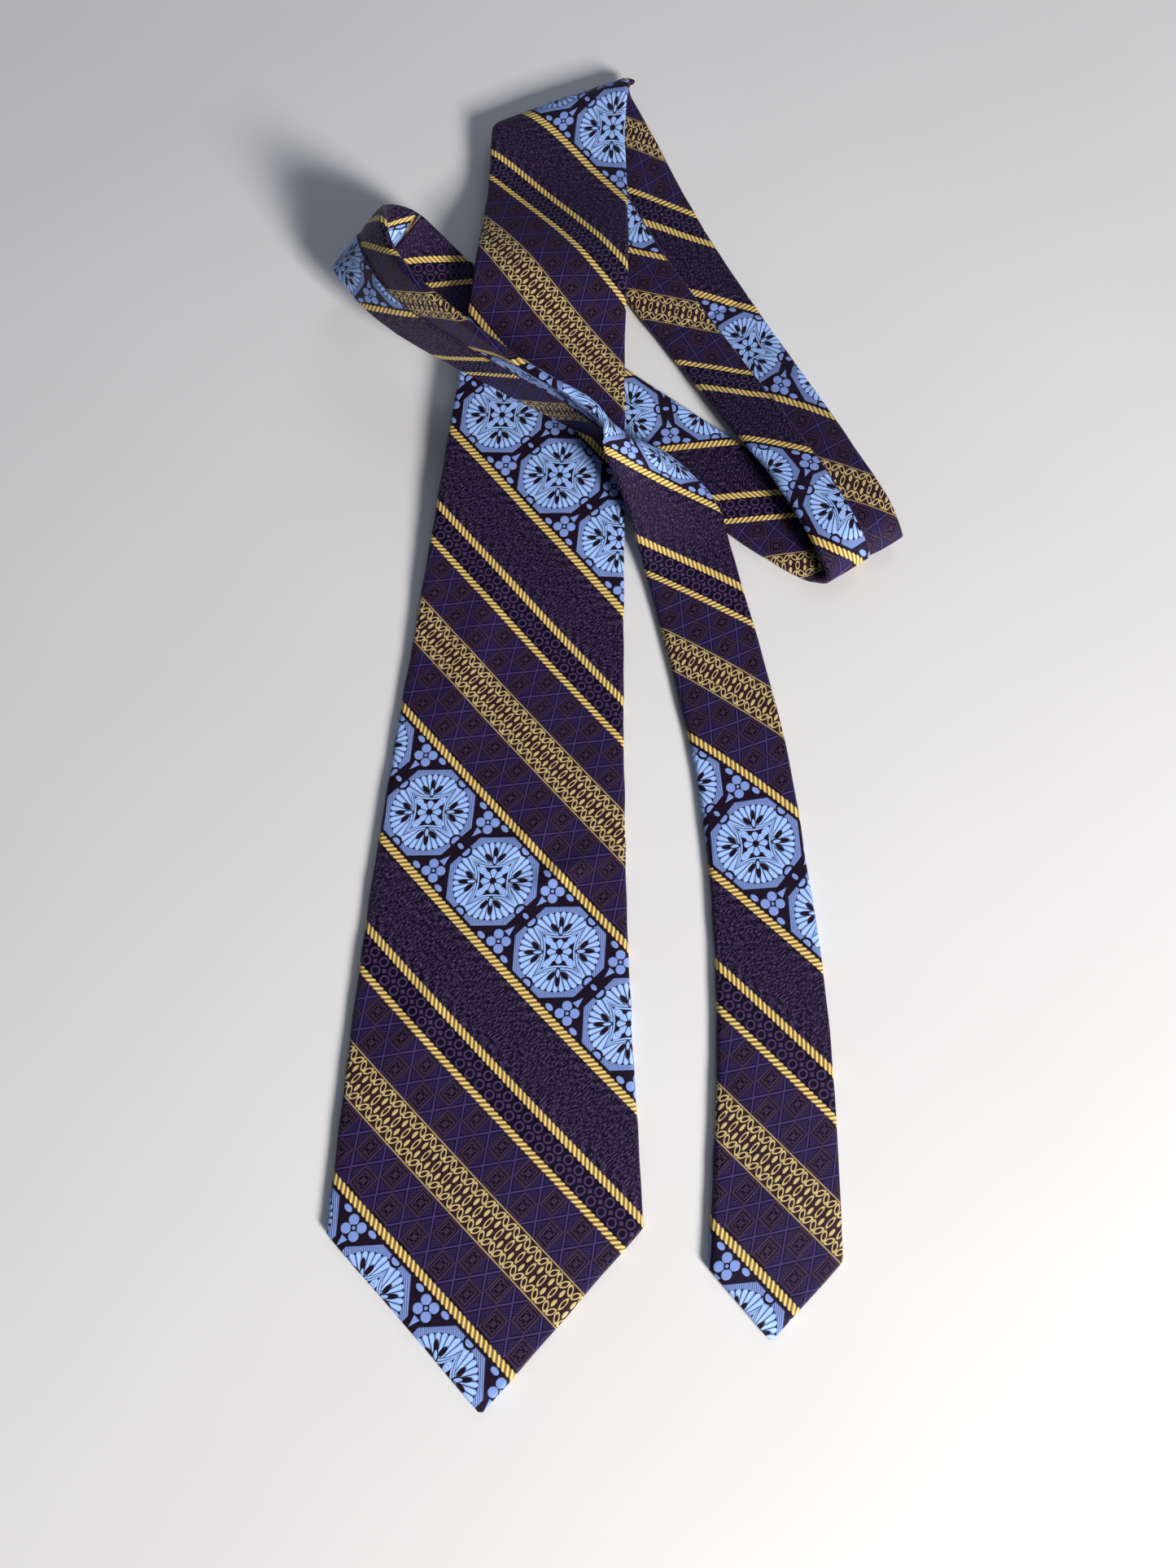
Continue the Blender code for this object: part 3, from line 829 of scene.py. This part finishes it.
def jacquard():
    """The woven silk: all bands of the pattern, from the cloth's own flat coordinates."""
    material, tree, shader = new_material("jacquard", 0.48, 0.03, (0.5, 0.5, 1.0, 1.0), 0.18)
    cloth = tree.nodes.new("ShaderNodeUVMap")
    cloth.uv_map = "Cloth"
    split = tree.nodes.new("ShaderNodeSeparateXYZ")
    tree.links.new(cloth.outputs[0], split.inputs[0])
    q, p = Wire(tree, split.outputs[0]), Wire(tree, split.outputs[1])
    t = q.math("WRAP", p, REPEAT + CORD_A[0], CORD_A[0])
    # purple bands
    diaper, framed = diaper_figure(q, t)
    ground = mixed(tree, framed, VIOLET, PLUM)
    colour = mixed(tree, diaper, VIOLET_DARK, ground)
    height = diaper * 0.35
    wave = wave_figure(q, t, speckles(tree, q, p))
    where = band_mask(t, CORD_B1[1], WAVE_MIDDLE + WAVE_HALF)
    colour = mixed(tree, where, colour, mixed(tree, wave, VIOLET_DARK, SPECKLE))
    height = height + (wave * 0.9 - height) * where
    narrow = narrow_figure(q, t)
    where = band_mask(t, *NARROW)
    colour = mixed(tree, where, colour, mixed(tree, narrow * 0.8, VIOLET_DARK, SPECKLE))
    height = height + (narrow * 0.35 - height) * where
    # the gold chain
    chain = chain_figure(q, t)
    where = (CHAIN_HALF - abs(t - CHAIN_MIDDLE)).inside(0.15)
    colour = mixed(tree, where, colour, mixed(tree, chain, CHAIN_GROUND, GOLD_PALE))
    height = height + (chain * 0.8 - height) * where
    # the blue medallions, with a painted highlight along the middle of each fan rib
    figure, edging, spread = medallion_figure(q, t)
    where = band_mask(t, CORD_A[1], CORD_A2[0])
    blue = mixed(tree, edging, mixed(tree, spread, BLUE, BLUE_RIB_HIGHLIGHT), BLUE_HATCH)
    colour = mixed(tree, where, colour, mixed(tree, figure, GROUND, blue))
    height = height + (figure * 0.8 - height) * where
    # raised cords, with painted highlight and painted shade in turn along each strand
    for band, pitch, lean in ((CORD_A, 1.8, -0.75), (CORD_A2, 1.9, 0.75),
                              (CORD_B2, 1.9, -0.9), (CORD_B1, 1.9, 0.9)):
        strands, where = cord_strands(q, t, band, pitch, lean)
        # each strand painted lighter and darker in turn, as highlight and shade
        colour = mixed(tree, where, colour, mixed(tree, strands * 0.5 + 0.55, GOLD_STRAND_SHADED, GOLD_STRAND_LIT))
        height = height + (strands * 0.25 + 1.2 - height) * where
    threads = q.wave(0.52) * 0.06 + p.wave(0.37) * 0.04
    tree.links.new(colour, shader.inputs["Base Color"])
    add_bump(tree, shader, height + threads, 0.00034)
    return material


def object_place(tree):
    node = tree.nodes.new("ShaderNodeTexCoord")
    split = tree.nodes.new("ShaderNodeSeparateXYZ")
    tree.links.new(node.outputs["Object"], split.inputs[0])
    return [Wire(tree, output) for output in split.outputs]


def noise(tree, scale, detail=3.0):
    place = tree.nodes.new("ShaderNodeTexCoord")
    node = tree.nodes.new("ShaderNodeTexNoise")
    node.inputs["Scale"].default_value = scale
    node.inputs["Detail"].default_value = detail
    tree.links.new(place.outputs["Object"], node.inputs["Vector"])
    return Wire(tree, node.outputs[0])


def wool():
    """Brushed interlining."""
    material, tree, shader = new_material("interlining", 0.9, 0.5, (1, 0.97, 0.9, 1), 0.2)
    x, y = object_place(tree)[:2]
    weave = (x + y).wave(0.0014) * (x - y).wave(0.0014) * 0.3 + 0.5
    share = weave * 0.5 + noise(tree, 900) * 0.5
    tree.links.new(mixed(tree, share, linear(176, 166, 144), linear(226, 219, 202)),
                   shader.inputs["Base Color"])
    add_bump(tree, shader, share, 0.0003)
    return material


def lining_silk():
    """Plain satin in the pointed ends."""
    material, tree, shader = new_material("tipping", 0.35, 0.3, (0.7, 0.6, 0.9, 1), 0.5)
    x, y = object_place(tree)[:2]
    satin = (x * 0.9 + y * 0.45).wave(0.0007) * 0.35 + noise(tree, 500) * 0.5 + 0.2
    tree.links.new(mixed(tree, satin, linear(24, 15, 32), linear(48, 32, 58)),
                   shader.inputs["Base Color"])
    add_bump(tree, shader, satin, 0.00006)
    return material


def thread_silk():
    """Twisted sewing thread."""
    material, tree, shader = new_material("thread", 0.5, 0.3, (0.8, 0.7, 1, 1), 0.5)
    x, y, z = object_place(tree)
    twist = (x + y + z).wave(0.0006) * 0.5 + 0.5
    tree.links.new(mixed(tree, twist, linear(22, 14, 28), linear(66, 48, 76)),
                   shader.inputs["Base Color"])
    add_bump(tree, shader, twist, 0.0001)
    return material


def floor_paint():
    material, tree, shader = new_material("floor", 0.75, 0.0, (1, 1, 1, 1), 0.3)
    share = noise(tree, 6.0)
    tree.links.new(mixed(tree, share, linear(222, 220, 216), linear(232, 230, 227)),
                   shader.inputs["Base Color"])
    return material


# ---- Where the pattern lies on each shell piece -------------------------------------------
MEDALLION_AT = (-0.0021, 0.1616)       # across and along the blade, a medallion's middle
TAIL_MEDALLION_AT = (0.0, 0.1545)      # across the narrow end, and from its tip
BIAS_GIVE = [
    # distance, cloth taken up along the strip, and slant of its stripes, where it bends;
    # it jumps at the tail seam, past which the cloth runs the other way
    (0.000, 0.0, 0.0),
    (0.330, 0.0, 0.0),
    (0.450, -0.004, 0.006),
    (0.500, -0.008, 0.005),
    (0.570, -0.015, 0.004),
    (0.640, -0.018, 0.004),
    (0.720, -0.022, 0.0),
    (0.9538, -0.023, 0.0),
    (0.9540, 0.0095, -0.007),
    (1.000, 0.0095, -0.007),
    (1.040, 0.0085, -0.011),
    (1.080, 0.005, -0.008),
    (1.115, 0.003, 0.005),
    (1.130, 0.001, 0.009),
    (1.200, -0.002, 0.007),
    (1.290, 0.0, 0.001),
    (TIE_LENGTH, 0.0, 0.0),
]


def cloth_place(u, s, reversed_cloth):
    """Distances along and across the stripes from a medallion's middle, in millimetres."""
    table = np.array(BIAS_GIVE)
    give = np.interp(s, table[:, 0], table[:, 1])
    slant = np.interp(s, table[:, 0], table[:, 2])
    give = give + slant * np.clip(u / half_width(s), -1, 1)
    if reversed_cloth:
        u0, v0 = TAIL_MEDALLION_AT
        across, along = -(u - u0), LENGTH - s - v0 + give
    else:
        u0, v0 = MEDALLION_AT
        across, along = u - u0, s - v0 + give
    q = (across - along) / math.sqrt(2) * 1000
    p = (across + along) / math.sqrt(2) * 1000
    return np.stack([q, p], axis=-1)


# ---- Pieces -----------------------------------------------------------------------------
LAYER_FROM = 0.0060         # a lining starts this far from the tip
STITCH_STEP = 0.0012
STITCH_RADIUS = 0.00022
STITCH_PITCH = 0.011
STITCH_DIP = 0.00010
TACK_HALF = 0.0013          # a bar tack reaches this far to each side of the slit
TACK_PITCH = 0.00042
TACK_RADIUS = 0.00021
SEAM_POINTS = 90
SEAM_PITCH = 0.0024
SEAM_RADIUS = 0.00016
KEEPER_RINGS = 14
KEEPER_POINTS = 41
KEEPER_CUT = 0.05           # the keeper is cut this much further along the cloth
KEEPER_STITCHES = 0.0040    # its stitches reach this far to each side of its middle
WHIP_PITCH = 0.0008
WHIP_LENGTH = 0.0014
WHIP_RADIUS = 0.00017


def dress(piece, material):
    piece.data.materials.append(material)
    return piece


def bend_at(piece, hinge, end):
    """Finds the points at the hinge and at the lifted end, leaves them unused and bakes the piece's
    transform; nothing bends.
    """
    flat = np.zeros(2)
    start, stop = LAY.points(np.array([hinge, end]), flat, flat)
    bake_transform(piece)


def bend_blade(piece):
    bend_at(piece, BLADE_HINGE, BLADE_HINGE - BEND_LENGTH)


def bend_tail(piece):
    bend_at(piece, LENGTH - TAIL_HINGE, LENGTH - TAIL_HINGE + BEND_LENGTH)


def make_shell(name, start, end, reversed_cloth, material):
    places, a, b, u = shell_rows(ring_places(start, end))
    piece = loft(name, LAY.points(places, a, b), cloth_place(u, places, reversed_cloth))
    outer = u[:, :u.shape[1] // 2]
    np.abs(outer[:, -1] - outer[:, 0])
    return dress(piece, material)


def make_layer(name, start, end, top, thickness, material):
    places, a, b = layer_rows(ring_places(start, end), top, thickness)
    piece = loft(name, LAY.points(places, a, b))
    return dress(piece, material)


def make_stitch(name, start, end, material):
    """The slip stitch: a thread that dips in and out beside the upper flap's edge."""
    s = np.linspace(start, end, int((end - start) / STITCH_STEP))
    lap = lapped(s)
    a = (OVERLAP + 0.00034) * lap
    level = (THICKNESS / 2 - 0.00032) * (1 - lap) + (THICKNESS / 2 - SINK + 0.00028) * lap
    b = -level + STITCH_DIP * np.sin(s * 2 * math.pi / STITCH_PITCH) * (1 - lap)
    upright = LAY.directions(s)[1][..., 2]
    b = b - relief(s, a) * facing_up(-upright)
    return dress(tube(name, LAY.points(s, a, b), STITCH_RADIUS), material)


def make_tack(name, s, material):
    """A bar tack: closely laid strands across the slit."""
    strands = []
    for k, place in enumerate(np.arange(s - TACK_LENGTH / 2, s + TACK_LENGTH / 2, TACK_PITCH)):
        a = np.linspace(-TACK_HALF, TACK_HALF, 7)
        b = -THICKNESS / 2 + 0.00012 - 0.00034 * np.cos(a / TACK_HALF * math.pi / 2)
        b = np.maximum(b, -THICKNESS / 2 - 0.00002)
        path = LAY.points(np.full(7, place) + 0.0001 * (-1) ** k * a / TACK_HALF, a, b)
        strands.append(tube(f"{name}_{k}", path, TACK_RADIUS))
    return dress(joined(name, strands), material)


def make_seam(name, s, material):
    """Stitches in the groove of a joining seam."""
    half = float(half_width(s)) - THICKNESS / 2
    a = np.linspace(-half, half, SEAM_POINTS)
    b = np.full(SEAM_POINTS, THICKNESS / 2 - SEAM_DIP + 0.0001)
    places = np.full(SEAM_POINTS, s)
    upright = LAY.directions(places)[1][..., 2]
    b = b + relief(places, a) * facing_up(upright)
    b = b + 0.00006 * np.sin(a * 2 * math.pi / SEAM_PITCH)
    return dress(tube(name, LAY.points(places, a, b), SEAM_RADIUS), material)


def make_keeper(material):
    """The keeper loop: a small band of the same cloth across the blade's back."""
    s = np.linspace(KEEPER_AT - KEEPER_WIDTH / 2, KEEPER_AT + KEEPER_WIDTH / 2, KEEPER_RINGS)
    level = -THICKNESS / 2 - GAP
    round_edge = 1 - np.abs(np.linspace(-1, 1, KEEPER_RINGS)) ** 6
    upper, lower = [], []
    for share in np.linspace(-1, 1, KEEPER_POINTS):
        bow = KEEPER_BOW * (1 - share * share)
        soft = 0.00012 * (1 - round_edge)
        across = np.full(KEEPER_RINGS, KEEPER_LENGTH / 2 * share)
        upper.append((across, level - bow - soft))
        lower.append((across, level - bow - KEEPER_CLOTH + soft))
    rows = upper + lower[::-1]
    a, b = (np.stack([row[k] for row in rows], axis=1) for k in range(2))
    places = np.broadcast_to(s[:, None], a.shape)
    cloth = cloth_place(a, places + KEEPER_CUT, False)
    piece = loft("keeper_band", LAY.points(places, a, b), cloth)
    return dress(piece, material)


def make_keeper_stitch(name, side, material):
    """Whipped strands that hold one end of the keeper loop."""
    strands = []
    first, last = KEEPER_AT - KEEPER_STITCHES, KEEPER_AT + KEEPER_STITCHES + 0.0001
    for k, place in enumerate(np.arange(first, last, WHIP_PITCH)):
        near = KEEPER_LENGTH / 2 + 0.00005
        a = side * (near + np.linspace(0, WHIP_LENGTH, 6))
        b = -THICKNESS / 2 - GAP - 0.00018 + 0.00010 * np.linspace(0, 1, 6)
        strands.append(tube(f"{name}_{k}", LAY.points(np.full(6, place), a, b), WHIP_RADIUS))
    return dress(joined(name, strands), material)


def make_tie():
    silk, lining, satin, thread = jacquard(), wool(), lining_silk(), thread_silk()
    tail_seam = LENGTH - TAIL_SEAM
    blade = make_shell("blade_cloth", TIP_BLUNT, BLADE_SEAM, False, silk)
    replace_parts(blade, "blade_shell_lower", "blade_shell_upper")
    neck = make_shell("neck_cloth", BLADE_SEAM, tail_seam, False, silk)
    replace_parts(neck, "neck_shell")
    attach(neck, "tie_body")
    tail = make_shell("tail_cloth", tail_seam, LENGTH - TIP_BLUNT, True, silk)
    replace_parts(tail, "tail_shell_upper", "tail_shell_lower")

    top = THICKNESS / 2 - CLOTH - GAP
    join = BLADE_SEAM + LINING_JOIN
    wool_blade = make_layer("blade_wool", LAYER_FROM, join, top, LINING, lining)
    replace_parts(wool_blade, "blade_interlining_lower", "blade_interlining_upper")
    wool_tail = make_layer("tail_wool", join + GAP, LENGTH - LAYER_FROM, top, LINING, lining)
    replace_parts(wool_tail, "tail_interlining_upper", "tail_interlining_lower")

    level = TIPPING + GAP + CLOTH - THICKNESS / 2
    blade_end = BLADE_TACK + TIPPING_PAST
    tail_end = LENGTH - TAIL_TACK - TIPPING_PAST
    satin_blade = make_layer("blade_satin", LAYER_FROM, blade_end, level, TIPPING, satin)
    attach(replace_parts(satin_blade, "blade_tipping"), "blade_end")
    satin_tail = make_layer("tail_satin", tail_end, LENGTH - LAYER_FROM, level, TIPPING, satin)
    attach(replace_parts(satin_tail, "tail_tipping"), "tail_end")

    first, last = BLADE_TACK + TACK_LENGTH, LENGTH - TAIL_TACK - TACK_LENGTH
    blade_stitch = make_stitch("blade_stitch", first, BLADE_HINGE, thread)
    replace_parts(blade_stitch, "slip_stitch_blade")
    middle = make_stitch("middle_stitch", BLADE_HINGE, LENGTH - TAIL_HINGE, thread)
    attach(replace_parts(middle, "slip_stitch_middle"), "tie_body")
    tail_stitch = make_stitch("tail_stitch", LENGTH - TAIL_HINGE, last, thread)
    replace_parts(tail_stitch, "slip_stitch_tail")

    tack = make_tack("blade_tack_strands", BLADE_TACK, thread)
    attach(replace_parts(tack, "blade_bar_tack"), "blade_end")
    tack = make_tack("tail_tack_strands", LENGTH - TAIL_TACK, thread)
    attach(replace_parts(tack, "tail_bar_tack"), "tail_end")
    seam = make_seam("blade_seam_stitches", BLADE_SEAM, thread)
    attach(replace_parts(seam, "blade_neck_seam"), "tie_body")
    seam = make_seam("tail_seam_stitches", tail_seam, thread)
    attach(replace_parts(seam, "neck_tail_seam"), "tie_body")

    keeper = make_keeper(silk)
    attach(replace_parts(keeper, "keeper_loop"), "tie_body")
    for name, side in (("left", -1), ("right", 1)):
        stitch = make_keeper_stitch(f"keeper_strands_{name}", side, thread)
        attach(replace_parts(stitch, f"keeper_stitch_{name}"), "tie_body")

    for piece in (blade, wool_blade, blade_stitch):
        bend_blade(piece)
    for piece in (tail, wool_tail, tail_stitch):
        bend_tail(piece)


# ---- Surroundings -----------------------------------------------------------------------
FLOOR_REACH = 3.0
FLOOR_DROP = 0.0002         # the floor lies this far under the tie
WORLD_COLOUR = (0.66, 0.76, 1.0, 1.0)
WORLD_STRENGTH = 0.15
LIGHTS = [
    # name, place, aim, size, power, colour
    ("window", (0.85, -1.10, 0.74), (0, 0.02, 0), 0.36, 40, (1.0, 0.98, 0.97)),
    ("fill", (0.4, 1.1, 1.1), (0, 0, 0), 0.9, 3, (0.80, 0.86, 1.0)),
]


def make_floor():
    mesh = bpy.data.meshes.new("floor")
    reach = FLOOR_REACH
    mesh.from_pydata([(-reach, -reach, 0), (reach, -reach, 0), (reach, reach, 0),
                      (-reach, reach, 0)], [], [(0, 1, 2, 3)])
    floor = bpy.data.objects.new("floor", mesh)
    floor.location.z = -FLOOR_DROP
    bpy.context.scene.collection.objects.link(floor)
    mesh.materials.append(floor_paint())


def add_light(name, place, aim, size, power, colour):
    data = bpy.data.lights.new(name, "AREA")
    data.size, data.energy, data.color = size, power, colour
    light = bpy.data.objects.new(name, data)
    light.location = place
    direction = np.array(aim) - np.array(place)
    light.rotation_euler = Vector(direction).to_track_quat("-Z", "Y").to_euler()
    bpy.context.scene.collection.objects.link(light)


def make_light():
    world = bpy.data.worlds.new("studio")
    bpy.context.scene.world = world
    world.use_nodes = True
    background = world.node_tree.nodes["Background"]
    background.inputs["Color"].default_value = WORLD_COLOUR
    background.inputs["Strength"].default_value = WORLD_STRENGTH
    for settings in LIGHTS:
        add_light(*settings)
    bpy.context.scene.view_settings.view_transform = "Standard"


make_camera()
make_light()
make_floor()
make_tie()
